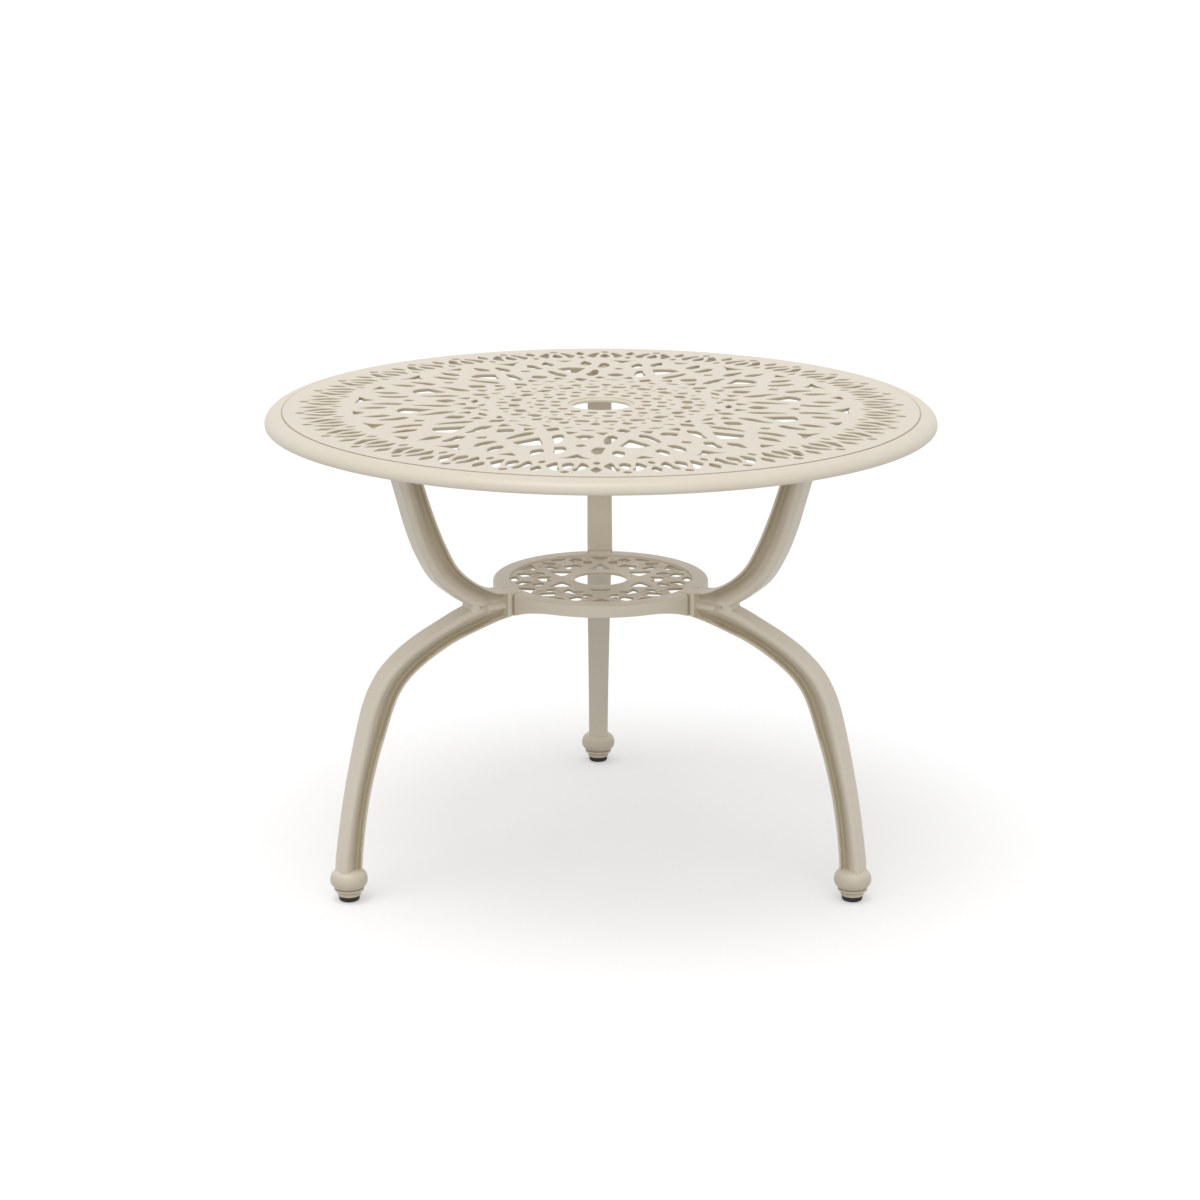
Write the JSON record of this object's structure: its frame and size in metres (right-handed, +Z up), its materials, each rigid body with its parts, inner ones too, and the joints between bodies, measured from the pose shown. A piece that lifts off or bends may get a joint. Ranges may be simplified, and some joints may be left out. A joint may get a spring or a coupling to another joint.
{
  "type": "garden umbrella table",
  "caption": "Round cast garden table with an openwork top, an umbrella hole, branching legs, a small round shelf between them and screw-in levelling glides.",
  "frame": {"origin": "on the floor, under the middle of the top", "axes": "+Z up, +Y towards the leg at the back of the picture, +X to the viewer's right"},
  "size_m": [1.067, 1.067, 0.7542],
  "materials": {
    "cream_coat": "cream powder coat, low sheen",
    "zinc_steel": "bright zinc plate",
    "black_plastic": "moulded, matt"
  },
  "bodies": {
    "table_frame": {"tabletop": "cream_coat", "lower_shelf": "cream_coat", "leg_back": "cream_coat", "leg_front_left": "cream_coat", "leg_front_right": "cream_coat", "top_bolt_back_1": "zinc_steel", "top_bolt_back_2": "zinc_steel", "top_washer_back_1": "zinc_steel", "top_washer_back_2": "zinc_steel", "top_bolt_front_left_1": "zinc_steel", "top_bolt_front_left_2": "zinc_steel", "top_washer_front_left_1": "zinc_steel", "top_washer_front_left_2": "zinc_steel", "top_bolt_front_right_1": "zinc_steel", "top_bolt_front_right_2": "zinc_steel", "top_washer_front_right_1": "zinc_steel", "top_washer_front_right_2": "zinc_steel", "shelf_bolt_back": "zinc_steel", "shelf_bolt_front_left": "zinc_steel", "shelf_bolt_front_right": "zinc_steel", "shelf_washer_back": "zinc_steel", "shelf_washer_front_left": "zinc_steel", "shelf_washer_front_right": "zinc_steel"},
    "glide_back": {"glide_pad_back": "black_plastic", "glide_stud_back": "zinc_steel"},
    "glide_front_left": {"glide_pad_front_left": "black_plastic", "glide_stud_front_left": "zinc_steel"},
    "glide_front_right": {"glide_pad_front_right": "black_plastic", "glide_stud_front_right": "zinc_steel"}
  },
  "joints": [
    {"name": "glide_screw_back", "type": "slide", "parent": "table_frame", "child": "glide_back", "axis": [0, 0, -1], "range_m": [0, 0.008]},
    {"name": "glide_screw_front_left", "type": "slide", "parent": "table_frame", "child": "glide_front_left", "axis": [0, 0, -1], "range_m": [0, 0.008]},
    {"name": "glide_screw_front_right", "type": "slide", "parent": "table_frame", "child": "glide_front_right", "axis": [0, 0, -1], "range_m": [0, 0.008]}
  ]
}
